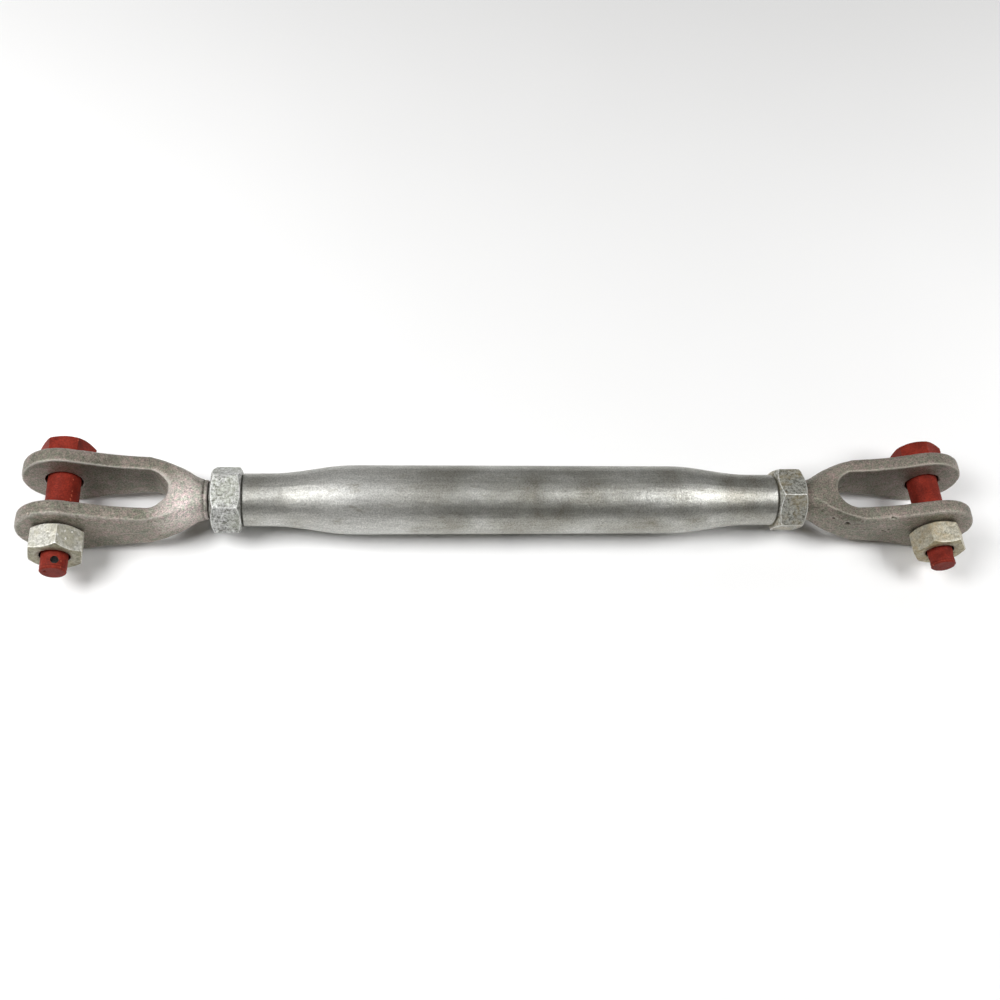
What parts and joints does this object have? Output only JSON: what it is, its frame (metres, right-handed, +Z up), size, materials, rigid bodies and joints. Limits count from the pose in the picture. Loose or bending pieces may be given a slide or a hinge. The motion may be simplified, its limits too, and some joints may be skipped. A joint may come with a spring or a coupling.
{
  "type": "rigging turnbuckle",
  "caption": "Closed-body jaw and jaw turnbuckle: a swaged tube draws two threaded forks together, locked by nuts, with hexagon bolts as clevis pins.",
  "frame": {"origin": "on the left jaw's pin axis, midway between its ears and on the body's axis", "axes": "+X along the body from the left jaw to the right jaw, the pins along Y with the bolt heads at +Y, +Z up"},
  "size_m": [0.6715, 0.0958, 0.0558],
  "materials": {
    "galvanised_tube": "satin hot-dip galvanised",
    "galvanised_forging": "rough hot-dip galvanised forging",
    "galvanised_thread": "galvanised rolled thread",
    "galvanised_nut": "mottled hot-dip galvanised",
    "red_paint": "matt brick-red paint on steel"
  },
  "bodies": {
    "left_jaw": {"left_jaw": "galvanised_forging", "left_screw": "galvanised_thread"},
    "right_jaw": {"right_jaw": "galvanised_forging", "right_screw": "galvanised_thread"},
    "body_tube": {"body_tube": "galvanised_tube"},
    "left_lock_nut": {"left_lock_nut": "galvanised_nut"},
    "right_lock_nut": {"right_lock_nut": "galvanised_nut"},
    "left_bolt": {"left_bolt": "red_paint"},
    "right_bolt": {"right_bolt": "red_paint"},
    "left_bolt_nut": {"left_bolt_nut": "galvanised_nut"},
    "right_bolt_nut": {"right_bolt_nut": "galvanised_nut"}
  },
  "joints": [
    {"name": "left_screw_travel", "type": "slide", "parent": "left_jaw", "child": "left_lock_nut", "axis": [1, 0, 0], "range_m": [0, 0.135]},
    {"name": "body_turn", "type": "hinge", "parent": "left_lock_nut", "child": "body_tube", "pos_m": [0.3082, 0, 0], "axis": [1, 0, 0], "range_deg": [0, 16200]},
    {"name": "jaw_spread", "type": "slide", "parent": "left_jaw", "child": "right_jaw", "axis": [1, 0, 0], "range_m": [0, 0.27]},
    {"name": "right_screw_travel", "type": "slide", "parent": "right_jaw", "child": "right_lock_nut", "axis": [-1, 0, 0], "range_m": [0, 0.135]},
    {"name": "left_bolt_withdraw", "type": "slide", "parent": "left_jaw", "child": "left_bolt", "axis": [0, 1, 0], "range_m": [0, 0.085]},
    {"name": "right_bolt_withdraw", "type": "slide", "parent": "right_jaw", "child": "right_bolt", "axis": [0, 1, 0], "range_m": [0, 0.085]},
    {"name": "left_bolt_nut_off", "type": "slide", "parent": "left_jaw", "child": "left_bolt_nut", "axis": [0, -1, 0], "range_m": [0, 0.032]},
    {"name": "right_bolt_nut_off", "type": "slide", "parent": "right_jaw", "child": "right_bolt_nut", "axis": [0, -1, 0], "range_m": [0, 0.032]}
  ],
  "couplings": [
    {"joint": "left_screw_travel", "follows": "body_turn", "m_per_rad": 0.00047746},
    {"joint": "jaw_spread", "follows": "body_turn", "m_per_rad": 0.00095493},
    {"joint": "right_screw_travel", "follows": "body_turn", "m_per_rad": 0.00047746}
  ]
}
